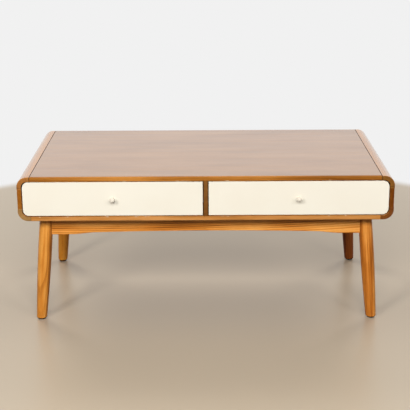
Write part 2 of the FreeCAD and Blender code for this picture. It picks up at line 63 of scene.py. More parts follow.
def work_out(tree, operation, *values):
    """One sum on numbers or sockets."""
    return node(tree, "ShaderNodeMath", dict(enumerate(values)), operation=operation).outputs[0]


def work_out_place(tree, operation, *values):
    """One sum on places, each three numbers or a socket."""
    return node(tree, "ShaderNodeVectorMath", dict(enumerate(values)), operation=operation).outputs[0]


def split(tree, place):
    """The X, Y and Z of a place, or of a direction."""
    return node(tree, "ShaderNodeSeparateXYZ", {0: place}).outputs


def spread(tree, value, low, high, to_low, to_high, kind="LINEAR"):
    """Stretch a value from one span to another, and hold it there."""
    sockets = {"Value": value, "From Min": low, "From Max": high, "To Min": to_low, "To Max": to_high}
    return node(tree, "ShaderNodeMapRange", sockets, interpolation_type=kind).outputs[0]


def tone_ramp(tree, value, stops):
    """Colours along a value, each stop a place and a colour."""
    ramp = node(tree, "ShaderNodeValToRGB", {"Fac": value})
    band = ramp.color_ramp.elements
    while len(band) < len(stops):
        band.new(0.5)
    for element, (place, colour) in zip(band, stops):
        element.position = place
        element.color = (*colour, 1.0)
    return ramp.outputs["Color"]


def mix_colours(tree, share, colour, other, kind="MIX"):
    """A colour with a share of another one laid over it, or multiplied into it."""
    return node(tree, "ShaderNodeMix", {"Factor": share, 6: colour, 7: (*other, 1.0)},
                data_type="RGBA", blend_type=kind).outputs[2]


def stretched_noise(tree, place, lumps, detail=2.0, roughness=0.5):
    """Noise with so many lumps to the metre along each axis of a place; returns its value and colour."""
    longer = work_out_place(tree, "MULTIPLY", place, lumps)
    made = node(tree, "ShaderNodeTexNoise", {
        "Vector": longer, "Scale": 1.0, "Detail": detail, "Roughness": roughness})
    return made.outputs["Fac"], made.outputs["Color"]


def relief(tree, height, strength, depth):
    """The tilt that a height gives to the surface, at most so many metres deep."""
    return node(tree, "ShaderNodeBump", {
        "Strength": strength, "Distance": depth, "Height": height}).outputs[0]


def new_finish(name):
    """An empty material, and its tree of nodes."""
    material = bpy.data.materials.new(name)
    material.use_nodes = True
    material.node_tree.nodes.clear()
    return material, material.node_tree


# The wood's noises: lumps to the metre along the grain and across it, then detail and roughness.
DRIFT = ((1.7, 9.0, 9.0), 2.0)
STREAKS = ((2.2, 95.0, 95.0), 5.0, 0.62)
FIBRES = ((18.0, 1500.0, 1500.0), 2.0)
CLOUDS = ((3.5, 13.0, 13.0), 3.0)
PORES = ((70.0, 1900.0, 1900.0), 1.0)
KNOCKS = ((34.0, 34.0, 34.0), 3.0, 0.6)

# One year's ring: how far through the year, and how dark the wood is there.
YEAR_START = (0.0, 0.25)
EARLY_WOOD = (0.35, 0.12)
LATE_WOOD = (0.85, 0.95)
YEAR_END = (1.0, 0.25)

# The faintest year shows at this share of the darkest, and what rings darken on average is given back.
FAINTEST_YEAR = 0.35
MEAN_RING = 0.45

# Where the dark, middle and light tones lie, and from where to where each noise takes hold.
TONE_PLACES = (0.05, 0.5, 0.95)
FIBRE_SWING = 0.15
PORE_SPAN = (0.60, 0.72)
PORE_SHADE = 0.35
END_GRAIN_SPAN = (0.55, 0.85)
KNOCK_SPAN = (0.615, 0.67)
STREAK_SPAN = (0.3, 0.7)
DULL_SWING = (-0.05, 0.08)
FIBRE_HEIGHT = 0.4

# The colour of the shade painted as a dark line into joints and seams, the colour of knocks, and the share
# of a mark's width that has its full strength.
PAINTED_JOINT_SHADE = (0.012, 0.006, 0.003)
BARE_WOOD = (0.80, 0.60, 0.38)
MARK_CORE = 0.6

# How a pattern is turned so that its grain runs along an axis.
ALONG = {"x": (0.0, 0.0, 0.0), "y": (0.0, 0.0, -math.pi / 2)}


def growth_rings(tree, place, heart, lean, ring, wander):
    """How dark the rings make the wood: each year pales into its early wood and ends in a dark line."""
    drift = stretched_noise(tree, place, *DRIFT)[1]
    centred = work_out_place(tree, "SUBTRACT", drift, (0.5, 0.5, 0.5))
    parts = split(tree, work_out_place(tree, "MULTIPLY_ADD", centred, (0.0, wander, wander), place))
    drifted = work_out(tree, "MULTIPLY_ADD", parts["X"], lean, parts["Y"])
    across = work_out(tree, "SUBTRACT", drifted, heart[0])
    up = work_out(tree, "SUBTRACT", parts["Z"], heart[1])
    squares = work_out(tree, "ADD", work_out(tree, "MULTIPLY", across, across),
                       work_out(tree, "MULTIPLY", up, up))
    years = work_out(tree, "DIVIDE", work_out(tree, "SQRT", squares), ring)
    year = node(tree, "ShaderNodeTexWhiteNoise", {"W": work_out(tree, "FLOOR", years)},
                noise_dimensions="1D").outputs["Value"]
    season = node(tree, "ShaderNodeFloatCurve", {"Value": work_out(tree, "FRACT", years)})
    line = season.mapping.curves[0]
    line.points[0].location = YEAR_START
    line.points[1].location = YEAR_END
    line.points.new(*EARLY_WOOD)
    line.points.new(*LATE_WOOD)
    season.mapping.update()
    return work_out(tree, "MULTIPLY", season.outputs[0], spread(tree, year, 0.0, 1.0, FAINTEST_YEAR, 1.0))


def swing(tree, noise, size):
    """A noise, whose middle is a half, turned into a change of at most so much up or down."""
    return work_out(tree, "MULTIPLY", work_out(tree, "SUBTRACT", noise, 0.5), size * 2)


def shade_joints_and_knock_edges(tree, raw, place, painted_shade_at, chipped_at, shade, rough, lacquer):
    """Painted shade in the joints and seams, and pale knocks: they change the colour, are dull, and have
    lost their lacquer.
    """
    marks = [(line, PAINTED_JOINT_SHADE, 1.0) for line in painted_shade_at]
    if chipped_at:
        knocks = spread(tree, stretched_noise(tree, place, *KNOCKS)[0], *KNOCK_SPAN, 0.0, 1.0)
        marks += [(line, BARE_WOOD, knocks) for line in chipped_at]
    # Each joint line is painted shade: a near-black, dull, unlacquered line where shade falls in the
    # grooves and gaps.
    for (axis, out, width), colour, cover in marks:
        side = work_out(tree, "ABSOLUTE", split(tree, raw)[axis])
        gap = work_out(tree, "ABSOLUTE", work_out(tree, "SUBTRACT", side, out))
        near = spread(tree, gap, width * MARK_CORE, width, 1.0, 0.0)
        covered = work_out(tree, "MULTIPLY", near, cover)
        shade = mix_colours(tree, covered, shade, colour)
        rough = work_out(tree, "MAXIMUM", rough, covered)
        if lacquer:
            lacquer = work_out(tree, "MULTIPLY", lacquer, work_out(tree, "SUBTRACT", 1.0, covered))
    return shade, rough, lacquer


def wood(name, tones, along="x", shift=(0.0, 0.0, 0.0), heart=(0.06, 0.11), lean=0.0, ring=0.005,
         wander=0.02, figure=0.5, streaks=0.5, clouds=0.35, pores=0.3, dull=0.36, lacquer=0.0,
         gloss=1.38, ends=(1.0, 1.0, 1.0), painted_shade_at=(), chipped_at=(), place_name=None):
    """Lacquered wood cut from a log: rings about a heart line, fibres along one axis, pores and clouds.

    tones are the dark, middle and light colours. shift takes the piece from another stretch of the log.
    heart is where the log's middle lies across the grain, and lean is how fast it drifts along the piece,
    which draws the flame figure. ring is the width of a year, and wander how far the rings stray. figure,
    streaks, clouds and pores are how strongly each shows. dull is the roughness, lacquer the weight of
    the clear coat, and gloss the refraction of the wood under it. ends is the tint of the end grain.
    painted_shade_at lists the joints and seams where shade is painted as a dark line: an axis, how far out
    on both sides, and a width.
    chipped_at lists the edges with small pale knocks in the same way. place_name is the attribute that
    holds the grain's own coordinates, on a piece that leans.
    """
    material, tree = new_finish(name)
    if place_name:
        raw = node(tree, "ShaderNodeAttribute", attribute_name=place_name).outputs["Vector"]
    else:
        raw = node(tree, "ShaderNodeTexCoord").outputs["Object"]
    place = node(tree, "ShaderNodeMapping", {
        "Vector": raw, "Location": shift, "Rotation": ALONG[along]}).outputs[0]

    rings = growth_rings(tree, place, heart, lean, ring, wander)
    streak = stretched_noise(tree, place, *STREAKS)[0]
    fibre = stretched_noise(tree, place, *FIBRES)[0]
    cloud = stretched_noise(tree, place, *CLOUDS)[0]
    ringed = work_out(tree, "ADD", work_out(tree, "MULTIPLY", rings, -figure), 0.5 + figure * MEAN_RING)
    streaked = work_out(tree, "ADD", ringed, swing(tree, streak, streaks))
    clouded = work_out(tree, "ADD", swing(tree, cloud, clouds), swing(tree, fibre, FIBRE_SWING))
    tone = work_out(tree, "ADD", streaked, clouded)
    colour = tone_ramp(tree, tone, tuple(zip(TONE_PLACES, tones)))

    pore_noise = stretched_noise(tree, place, *PORES)[0]
    pore = spread(tree, pore_noise, *PORE_SPAN, 0.0, pores, "SMOOTHSTEP")
    dusted = mix_colours(tree, pore, colour, [part * PORE_SHADE for part in tones[0]])
    facing = node(tree, "ShaderNodeNewGeometry").outputs["Normal"]
    facing_end = work_out(tree, "ABSOLUTE", split(tree, facing)[along.upper()])
    end_grain = spread(tree, facing_end, *END_GRAIN_SPAN, 0.0, 1.0)
    shade = mix_colours(tree, end_grain, dusted, ends, "MULTIPLY")
    rough = spread(tree, streak, *STREAK_SPAN, dull + DULL_SWING[0], dull + DULL_SWING[1])
    shade, rough, lacquer = shade_joints_and_knock_edges(tree, raw, place, painted_shade_at, chipped_at, shade, rough, lacquer)

    grain_height = work_out(tree, "SUBTRACT", work_out(tree, "MULTIPLY", fibre, FIBRE_HEIGHT), pore)
    shader = node(tree, "ShaderNodeBsdfPrincipled", {
        "Base Color": shade, "Normal": relief(tree, grain_height, strength=0.35, depth=0.00012),
        "IOR": gloss, "Roughness": rough,
        "Coat Weight": lacquer, "Coat Roughness": 0.16, "Coat IOR": 1.5})
    node(tree, "ShaderNodeOutputMaterial", {"Surface": shader.outputs[0]})
    return material


def finish_node(name, material):
    """Give a piece of the frame its finish."""
    for holder in nodes[name].material_slots:
        holder.material = material


# The seams between the top and the corner pieces get a line of painted shade, for the shade in their
# grooves.
SEAM_WIDTH = 0.0013
seam_out = -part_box("top_left_corner")[1].x
VENEER_TONES = ((0.246, 0.110, 0.038), (0.392, 0.190, 0.073), (0.502, 0.262, 0.113))
finish_node("top_panel", wood(
    "top_veneer_finish", VENEER_TONES, heart=(0.3, 0.62), lean=0.02, ring=0.011, wander=0.018, figure=0.18,
    clouds=0.45, dull=0.34, lacquer=1.0, gloss=1.5, painted_shade_at=(("X", seam_out, SEAM_WIDTH),)))

CASE_TONES = ((0.20, 0.060, 0.010), (0.38, 0.130, 0.022), (0.52, 0.200, 0.040))
finish_node("bottom_panel", wood("bottom_board_finish", CASE_TONES, shift=(0.7, 0.1, 0.2),
                                 heart=(0.2, 0.5), ring=0.009, figure=0.3))


# Front lippings
# Narrow solid strips glued to the front edges of the two boards, to hide the board under the veneer.
# Straight grain runs along them, and the lower one is paler. Small knocks along their inner edges
# show bare wood.
LIPPING_TONES = ((0.17, 0.046, 0.003), (0.37, 0.130, 0.015), (0.58, 0.230, 0.040))
PALE_LIPPING_TONES = ((0.30, 0.102, 0.014), (0.58, 0.240, 0.056), (0.80, 0.385, 0.120))
# The lippings' ends, where they meet the corner pieces, get a thin line of painted shade.
JOINT_WIDTH = 0.0005
CHIP_WIDTH = 0.0016
for level, tones, shift, inner_edge in (
        ("top", LIPPING_TONES, (6.1, 0.0, 0.0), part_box("top_front_lipping")[0].z),
        ("bottom", PALE_LIPPING_TONES, (5.6, 0.4, 0.1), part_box("bottom_front_lipping")[1].z)):
    finish_node(level + "_front_lipping", wood(
        level + "_lipping_finish", tones, shift=shift, ring=0.004, figure=0.35, clouds=0.8,
        painted_shade_at=(("X", seam_out, JOINT_WIDTH),), chipped_at=(("Z", inner_edge, CHIP_WIDTH),)))


# Corner pieces
# Four quarter-round mouldings of solid wood that run front to back and turn the case's corners.
# Their ends show the growth rings, and the grain runs away from the front.
ROUND_TONES = ((0.31, 0.116, 0.027), (0.56, 0.252, 0.078), (0.69, 0.342, 0.124))
# The tint of each one's end grain.
CORNER_ENDS = {
    "top_left": (0.73, 0.60, 0.34),
    "top_right": (0.41, 0.34, 0.10),
    "bottom_left": (0.64, 0.70, 0.60),
    "bottom_right": (0.34, 0.19, 0.01)}
CORNER_STRETCH = 0.9
HEART_STEP = 0.02
# The corner pieces get lines of painted shade at the top seam and at their joints with the side boards.
side_joints = [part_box("left_side_panel")[end].z for end in (0, 1)]
for number, (corner, ends) in enumerate(CORNER_ENDS.items()):
    seam = SEAM_WIDTH if corner.startswith("top") else JOINT_WIDTH
    finish_node(corner + "_corner", wood(
        corner + "_corner_finish", ROUND_TONES, along="y", shift=(number * CORNER_STRETCH, 0.0, 0.0),
        heart=(HEART_STEP * number, 0.35), ring=0.004, figure=0.4, clouds=0.45, lacquer=1.0, gloss=1.5,
        ends=ends, painted_shade_at=[("X", seam_out, seam)] + [("Z", joint, JOINT_WIDTH) for joint in side_joints]))


# Side boards
# Flat boards between the upper and lower corner pieces, a hair thinner than the rounds beside them.
# Their grain runs front to back.
SIDE_TONES = ((0.28, 0.088, 0.013), (0.50, 0.186, 0.034), (0.64, 0.265, 0.060))
SIDE_STRETCH = 3.1
# The side boards get lines of painted shade at their joints with the corner pieces.
for number, (side, ends) in enumerate((("left", (0.64, 0.55, 0.22)), ("right", (0.34, 0.23, 0.01)))):
    finish_node(side + "_side_panel", wood(
        side + "_side_finish", SIDE_TONES, along="y", shift=(SIDE_STRETCH + number, 0.0, 0.0),
        heart=(0.4, 0.5), ring=0.007, figure=0.3, lacquer=0.3, ends=ends,
        painted_shade_at=[("Z", joint, JOINT_WIDTH) for joint in side_joints]))


# Middle board
# The upright board between the two drawers, of the same wood as the side boards.
# It stands in housings in the boards above and below it, and its front edge is end grain.
finish_node("centre_divider", wood(
    "divider_finish", SIDE_TONES, along="y", shift=(5.2, 0.1, 0.0), heart=(0.15, 0.2), ring=0.004,
    figure=0.4, ends=(0.40, 0.40, 0.38)))


# Back panel
# A thin plywood sheet let into a rebate all round the back, and screwed at the top and bottom.
# Its face veneer is pale, broad in the grain and hardly lacquered.
PLY_TONES = ((0.34, 0.185, 0.080), (0.46, 0.275, 0.135), (0.56, 0.36, 0.195))
finish_node("back_panel", wood(
    "back_panel_finish", PLY_TONES, shift=(0.4, 0.2, 0.6), heart=(0.5, 0.7), ring=0.012, wander=0.05,
    figure=0.3, clouds=0.25, dull=0.5, lacquer=0.15))


# Legs
# Four legs turned from solid wood in one long swell, leaning outwards, cut level at both ends.
# They are made as a ruled turning: its radius runs from the top to the foot with a swell between.
LEG_SIDES = 96
LEG_RINGS = 110
FOOT_SHARE = 0.09
FOOT_ROUND = 0.0025
LEG_SWELL = 0.00265
SAME_HEIGHT = 0.00001


def new_tree(name, inputs):
    """A geometry tree with named inputs: the tree, the outputs of its input node, and the identifiers."""
    tree = bpy.data.node_groups.new(name, "GeometryNodeTree")
    identifiers = {}
    for label, kind in inputs:
        socket = tree.interface.new_socket(label, in_out="INPUT", socket_type=kind)
        identifiers[label] = socket.identifier
    tree.interface.new_socket("Geometry", in_out="OUTPUT", socket_type="NodeSocketGeometry")
    return tree, node(tree, "NodeGroupInput").outputs, identifiers


def join(tree, x, y, z):
    """A place made of three values."""
    return node(tree, "ShaderNodeCombineXYZ", {"X": x, "Y": y, "Z": z}).outputs[0]


def blank_cylinder(tree, sides, rings, radius=1.0, length=1.0):
    """An upright cylinder with flat ends, its middle at the origin; returns its mesh and its side."""
    blank = node(tree, "GeometryNodeMeshCylinder", {
        "Vertices": sides, "Side Segments": rings, "Fill Segments": 1, "Radius": radius, "Depth": length},
        fill_type="NGON").outputs
    return blank["Mesh"], blank["Side"]


def close_tree(tree, shape, material):
    """Make any copies real, give the shape its material, and hand it out."""
    whole = node(tree, "GeometryNodeRealizeInstances", {0: shape})
    dressed = node(tree, "GeometryNodeSetMaterial", {"Geometry": whole.outputs[0], "Material": material})
    node(tree, "NodeGroupOutput", {0: dressed.outputs[0]})


def grow(name, tree, identifiers, values, material, body, start=None):
    """Run a geometry tree on an object, keep the result as a plain mesh, and let it ride on its body."""
    piece = bpy.data.objects.new(name, start or bpy.data.meshes.new(name))
    bpy.context.scene.collection.objects.link(piece)
    modifier = piece.modifiers.new("shape", "NODES")
    modifier.node_group = tree
    for label, value in values.items():
        modifier[identifiers[label]] = value
    seen = piece.evaluated_get(bpy.context.evaluated_depsgraph_get())
    shape = bpy.data.meshes.new_from_object(seen)
    piece.modifiers.clear()
    piece.data = shape
    shape.name = name
    shape.materials.clear()
    shape.materials.append(material)
    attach(piece, body)
    return piece


def ring_at(name, height):
    """The middle and radius of the ring of a standing node at one height."""
    points = [v.co for v in nodes[name].data.vertices if abs(v.co.z - height) < SAME_HEIGHT]
    xs = [p.x for p in points]
    ys = [p.y for p in points]
    middle = Vector(((min(xs) + max(xs)) / 2, (min(ys) + max(ys)) / 2, height))
    return middle, (max(xs) - min(xs)) / 2


def leg_tree():
    """A turned leg between two points, which also keeps the place of each point in the straight leg."""
    tree, given, identifiers = new_tree("turned_leg", (
        ("Top", "NodeSocketVector"), ("Foot", "NodeSocketVector"), ("Top Radius", "NodeSocketFloat"),
        ("Foot Radius", "NodeSocketFloat"), ("Swell", "NodeSocketFloat"),
        ("Foot Round", "NodeSocketFloat"), ("Grain Shift", "NodeSocketVector"),
        ("Material", "NodeSocketMaterial")))
    blank, blank_side = blank_cylinder(tree, LEG_SIDES, LEG_RINGS)
    place = split(tree, node(tree, "GeometryNodeInputPosition").outputs[0])
    down = work_out(tree, "SUBTRACT", 0.5, place["Z"])
    drop = work_out_place(tree, "SUBTRACT", given["Foot"], given["Top"])
    height = work_out(tree, "ABSOLUTE", split(tree, drop)["Z"])

    # The last rings go round the foot's edge in a quarter turn, and the others share the rest evenly.
    straight = work_out(tree, "SUBTRACT", height, given["Foot Round"])
    turn = spread(tree, down, 1 - FOOT_SHARE, 1.0, 0.0, math.pi / 2)
    fallen = work_out(tree, "ADD", spread(tree, down, 0.0, 1 - FOOT_SHARE, 0.0, straight),
                      work_out(tree, "MULTIPLY", work_out(tree, "SINE", turn), given["Foot Round"]))
    tucked = work_out(tree, "MULTIPLY", work_out(tree, "SUBTRACT", 1.0, work_out(tree, "COSINE", turn)),
                      given["Foot Round"])

    # The share above times the share below, times four, is a swell that is one halfway down.
    above = work_out(tree, "DIVIDE", fallen, height)
    below = work_out(tree, "SUBTRACT", 1.0, above)
    belly = work_out(tree, "MULTIPLY", work_out(tree, "MULTIPLY", above, below), 4.0)
    taper = spread(tree, above, 0.0, 1.0, given["Top Radius"], given["Foot Radius"])
    swollen = work_out(tree, "MULTIPLY_ADD", belly, given["Swell"], taper)
    radius = work_out(tree, "SUBTRACT", swollen, tucked)

    across = work_out(tree, "MULTIPLY", place["X"], radius)
    deep = work_out(tree, "MULTIPLY", place["Y"], radius)
    on_axis = work_out_place(tree, "MULTIPLY_ADD", drop, above, given["Top"])
    target = work_out_place(tree, "ADD", on_axis, join(tree, across, deep, 0.0))
    grain = work_out_place(tree, "ADD", join(tree, fallen, across, deep), given["Grain Shift"])
    marked = node(tree, "GeometryNodeStoreNamedAttribute", {
        "Geometry": blank, "Name": "grain_place", "Value": grain}, data_type="FLOAT_VECTOR", domain="POINT")
    shaped = node(tree, "GeometryNodeSetPosition", {"Geometry": marked.outputs[0], "Position": target})
    smooth = node(tree, "GeometryNodeSetShadeSmooth", {
        "Geometry": shaped.outputs[0], "Selection": blank_side, "Shade Smooth": True})
    close_tree(tree, smooth.outputs[0], given["Material"])
    return tree, identifiers


leg_shape, leg_inputs = leg_tree()
# Each leg's figure, its own stretch of the log, and its tones.
LEG_CORNERS = {
    "front_left": (
        0.35, (0.0, 0.0, 0.0), ((0.28, 0.080, 0.008), (0.67, 0.240, 0.030), (0.86, 0.380, 0.075))),
    "front_right": (
        0.60, (7.1, 0.02, 0.03), ((0.21, 0.052, 0.004), (0.56, 0.168, 0.017), (0.80, 0.320, 0.060))),
    # The back left leg's tones are painted lighter: painted light for the lamps' light that the case keeps
    # from it.
    "back_left": (
        0.35, (2.6, -0.01, 0.05), ((0.42, 0.125, 0.009), (0.86, 0.300, 0.024), (0.95, 0.400, 0.050))),
    # The back right leg's tones are painted darker: painted shade for the shade it stands in under the
    # case.
    "back_right": (
        0.35, (4.1, 0.03, -0.02), ((0.19, 0.041, 0.004), (0.36, 0.085, 0.011), (0.52, 0.145, 0.025)))}
for corner, (figure, grain_shift, tones) in LEG_CORNERS.items():
    leg_finish = wood(
        corner + "_leg_finish", tones, heart=(0.035, 0.05), lean=0.08, ring=0.0045, wander=0.03,
        figure=figure, streaks=0.75, clouds=1.3, place_name="grain_place")
    cad_name = corner + "_leg"
    low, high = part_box(cad_name)
    top_middle, top_radius = ring_at(cad_name, high.z)
    foot_middle, foot_radius = ring_at(cad_name, low.z)
    leg = grow(cad_name + "_turned", leg_shape, leg_inputs, {
        "Top": top_middle, "Foot": foot_middle, "Top Radius": top_radius,
        "Foot Radius": foot_radius + FOOT_ROUND, "Swell": LEG_SWELL, "Foot Round": FOOT_ROUND,
        "Grain Shift": grain_shift, "Material": leg_finish}, leg_finish, "table")
    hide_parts(cad_name)


# Glides
# A small dark disc of moulded plastic under each leg, nailed into the foot.
# It keeps the leg's end grain off the floor.
PLASTIC_GRAIN = ((900.0, 900.0, 900.0), 3.0)
PLASTIC_SPAN = (0.2, 0.8)
PLASTIC_DARKER = 0.8
PLASTIC_LIGHTER = 1.2
PLASTIC_DULLER = 0.15


def plastic(name, colour, dull):
    """Plain moulded plastic with a fine dull grain."""
    material, tree = new_finish(name)
    place = node(tree, "ShaderNodeTexCoord").outputs["Object"]
    grain = stretched_noise(tree, place, *PLASTIC_GRAIN)[0]
    darker = [part * PLASTIC_DARKER for part in colour]
    lighter = [part * PLASTIC_LIGHTER for part in colour]
    shader = node(tree, "ShaderNodeBsdfPrincipled", {
        "Base Color": tone_ramp(tree, grain, tuple(zip(PLASTIC_SPAN, (darker, lighter)))),
        "Normal": relief(tree, grain, strength=0.2, depth=0.0001),
        "Roughness": spread(tree, grain, *PLASTIC_SPAN, dull, dull + PLASTIC_DULLER)})
    node(tree, "ShaderNodeOutputMaterial", {"Surface": shader.outputs[0]})
    return material


glide_plastic = plastic("glide_finish", (0.035, 0.026, 0.020), dull=0.45)
for corner in LEG_CORNERS:
    finish_node(corner + "_glide", glide_plastic)


# Aprons and corner blocks
# Four rails tenoned between the legs, with a shaped lower edge, and a glue block in each corner.
# They are the same honey wood as the legs, and the front rail's grain dips towards its left end.
FRAME_TONES = ((0.30, 0.080, 0.005), (0.72, 0.246, 0.031), (0.95, 0.445, 0.105))
# Each rail's grain: its axis, its stretch of the log, where the log's middle lies, and how it leans.
APRON_CUTS = {
    "front_apron": ("x", (0.15, 0.0, 0.0), (-0.248, 0.365), 0.090),
    "back_apron": ("x", (1.9, 0.0, 0.0), (0.21, 0.31), -0.04),
    "left_apron": ("y", (3.0, 0.0, 0.0), (0.55, 0.29), 0.04),
    "right_apron": ("y", (4.3, 0.0, 0.0), (-0.50, 0.31), -0.04)}
for apron, (along, shift, heart, lean) in APRON_CUTS.items():
    finish_node(apron, wood(
        apron + "_finish", FRAME_TONES, along=along, shift=shift, heart=heart, lean=lean,
        ring=0.006, wander=0.014, figure=0.55, streaks=0.75, clouds=0.7))
block_finish = wood("corner_block_finish", FRAME_TONES, shift=(6.0, 0.3, 0.0), heart=(0.1, 0.2),
                    dull=0.5, lacquer=0.2)
for corner in LEG_CORNERS:
    finish_node(corner + "_corner_block", block_finish)


# Slides
# Ball slides of zinc-plated rolled steel on both sides of each drawer: a rail on the case, a runner on
# the drawer box, and between them a thin cage with hardened balls.
BRUSHED = (4.0, 900.0, 900.0)
BRUSH_DETAIL = 3.0
BRUSH_SPAN = (0.25, 0.75)
BRUSH_DULL_SWING = (-0.06, 0.08)
PATCHES = ((30.0, 60.0, 60.0), 3.0)
PATCH_SPAN = (0.3, 0.7)
PATCH_SHADE = 0.86


def metal(name, colour, dull, brush=BRUSHED):
    """Plated metal with fine brush lines from front to back, or with an even grain."""
    material, tree = new_finish(name)
    raw = node(tree, "ShaderNodeTexCoord").outputs["Object"]
    place = node(tree, "ShaderNodeMapping", {"Vector": raw, "Rotation": ALONG["y"]}).outputs[0]
    lines = stretched_noise(tree, place, brush, BRUSH_DETAIL)[0]
    patches = stretched_noise(tree, place, *PATCHES)[0]
    darker = [part * PATCH_SHADE for part in colour]
    shader = node(tree, "ShaderNodeBsdfPrincipled", {
        "Base Color": tone_ramp(tree, patches, tuple(zip(PATCH_SPAN, (darker, colour)))),
        "Normal": relief(tree, lines, strength=0.15, depth=0.00005), "Metallic": 1.0,
        "Roughness": spread(
            tree, lines, *BRUSH_SPAN, dull + BRUSH_DULL_SWING[0], dull + BRUSH_DULL_SWING[1])})
    node(tree, "ShaderNodeOutputMaterial", {"Surface": shader.outputs[0]})
    return material


slide_zinc = metal("slide_finish", (0.62, 0.63, 0.65), dull=0.34)
cage_zinc = metal("cage_finish", (0.52, 0.53, 0.54), dull=0.42)
ball_steel = metal("ball_finish", (0.75, 0.76, 0.78), dull=0.12, brush=(200.0, 200.0, 200.0))
for side in ("left", "right"):
    for place in ("inner", "outer"):
        finish_node("%s_drawer_%s_rail" % (side, place), slide_zinc)
        finish_node("%s_drawer_%s_runner" % (side, place), slide_zinc)
    finish_node(side + "_ball_cages", cage_zinc)
    finish_node(side + "_slide_balls", ball_steel)


# Screws
# Cross-headed steel screws: flush ones in the slides and the back panel, domed ones in the corner
# blocks and behind the knobs. Each kind is one turned head with a cross cut in it, on a threaded shank.
SCREW_SIDES = 32
HEAD_RINGS = 7
THREAD_PITCH = 0.0014
THREAD_DEPTH = 0.0003
STEPS_A_TURN = 14
RIDGE_SIDES = 4
CROSS_WIDTH_SHARE = 0.24
CROSS_LENGTH_SHARE = 1.25
CROSS_DEPTH_SHARE = 0.5
SAME_POINT = 0.00001
SAME_RIM = 0.00005

# A dome's width is one less DOME_LOSS of its height to DOME_POWER, and that to DOME_ROUNDNESS.
DOME_POWER = 3.0
DOME_LOSS = 0.8
DOME_ROUNDNESS = 0.3


def loose_solids(name):
    """The points of each separate solid of a node."""
    solids = bmesh.new()
    solids.from_mesh(nodes[name].data)
    bmesh.ops.remove_doubles(solids, verts=solids.verts, dist=SAME_POINT)
    waiting = set(solids.verts)
    found = []
    for first in solids.verts:
        if first not in waiting:
            continue
        waiting.remove(first)
        group = [first]
        for vertex in group:
            # The group grows while it is gone through, until no neighbour is left.
            for link in vertex.link_edges:
                other = link.other_vert(vertex)
                if other in waiting:
                    waiting.remove(other)
                    group.append(other)
        found.append([vertex.co.copy() for vertex in group])
    solids.free()
    return found


def screws_in(name):
    """Each screw of a node: the middle of its head's face, its direction, its length and head radius."""
    found = []
    for points in loose_solids(name):
        low = Vector([min(p[axis] for p in points) for axis in range(3)])
        high = Vector([max(p[axis] for p in points) for axis in range(3)])
        size = high - low
        axis = max(range(3), key=lambda number: size[number])
        middle = (low + high) / 2
        widths = []
        for end in (low[axis], high[axis]):
            rim = [p - middle for p in points if abs(p[axis] - end) < SAME_RIM]
            for spoke in rim:
                spoke[axis] = 0.0
            widths.append(max(spoke.length for spoke in rim))
        way = 1.0 if widths[0] > widths[1] else -1.0
        seat = middle.copy()
        seat[axis] = low[axis] if way > 0 else high[axis]
        facing = Vector((0.0, 0.0, 0.0))
        facing[axis] = way
        found.append((seat, facing, size[axis], max(widths)))
    return found


def screw_head(tree, given):
    """A cone or a dome with its face at the origin, and a cross cut into the face."""
    blank = blank_cylinder(tree, SCREW_SIDES, HEAD_RINGS)[0]
    place = split(tree, node(tree, "GeometryNodeInputPosition").outputs[0])
    down = work_out(tree, "ADD", place["Z"], 0.5)
    up = work_out(tree, "SUBTRACT", 1.0, down)
    lost = work_out(tree, "MULTIPLY", work_out(tree, "POWER", up, DOME_POWER), DOME_LOSS)
    rounded = work_out(tree, "POWER", work_out(tree, "SUBTRACT", 1.0, lost), DOME_ROUNDNESS)
    dome = work_out(tree, "MULTIPLY", rounded, given["Head Radius"])
    cone = spread(tree, down, 0.0, 1.0, given["Head Radius"], given["Shank Radius"])
    radius = node(tree, "GeometryNodeSwitch", {"Switch": given["Domed"], "False": cone, "True": dome},
                  input_type="FLOAT").outputs[0]
    head_place = join(tree, work_out(tree, "MULTIPLY", place["X"], radius),
                      work_out(tree, "MULTIPLY", place["Y"], radius),
                      work_out(tree, "MULTIPLY", down, given["Head Height"]))
    head = node(tree, "GeometryNodeSetPosition", {"Geometry": blank, "Position": head_place})
    arm = work_out(tree, "MULTIPLY", given["Head Radius"], CROSS_LENGTH_SHARE)
    thin = work_out(tree, "MULTIPLY", given["Head Radius"], CROSS_WIDTH_SHARE)
    depth = work_out(tree, "MULTIPLY", given["Head Height"], CROSS_DEPTH_SHARE * 2)
    cut = node(tree, "GeometryNodeMeshBoolean", {"Mesh 1": head.outputs[0]},
               operation="DIFFERENCE", solver="EXACT")
    for width, length in ((arm, thin), (thin, arm)):
        bar = node(tree, "GeometryNodeMeshCube", {"Size": join(tree, width, length, depth)})
        tree.links.new(bar.outputs["Mesh"], cut.inputs["Mesh 2"])
    return cut.outputs[0]


def lowered(tree, shape, height):
    """A shape moved along the screw, away from the head's face."""
    return node(tree, "GeometryNodeTransform", {
        "Geometry": shape, "Translation": join(tree, 0.0, 0.0, height)}).outputs[0]


def screw_shank(tree, given):
    """The shank below the head, and the thread wound round it."""
    core = work_out(tree, "SUBTRACT", given["Shank Radius"], THREAD_DEPTH)
    length = work_out(tree, "SUBTRACT", given["Length"], given["Head Height"])
    rod = blank_cylinder(tree, SCREW_SIDES // 2, 1, core, length)[0]
    shank = lowered(tree, rod, work_out(tree, "MULTIPLY_ADD", length, 0.5, given["Head Height"]))
    threaded = work_out(tree, "SUBTRACT", length, THREAD_PITCH)
    helix = node(tree, "GeometryNodeCurveSpiral", {
        "Resolution": STEPS_A_TURN, "Rotations": work_out(tree, "DIVIDE", threaded, THREAD_PITCH),
        "Start Radius": core, "End Radius": core, "Height": threaded})
    ridge = node(tree, "GeometryNodeCurvePrimitiveCircle", {
        "Resolution": RIDGE_SIDES, "Radius": THREAD_DEPTH})
    wound = node(tree, "GeometryNodeCurveToMesh", {
        "Curve": helix.outputs[0], "Profile Curve": ridge.outputs[0], "Fill Caps": True})
    thread_start = work_out(tree, "MULTIPLY_ADD", 0.5, THREAD_PITCH, given["Head Height"])
    return shank, lowered(tree, wound.outputs[0], thread_start)


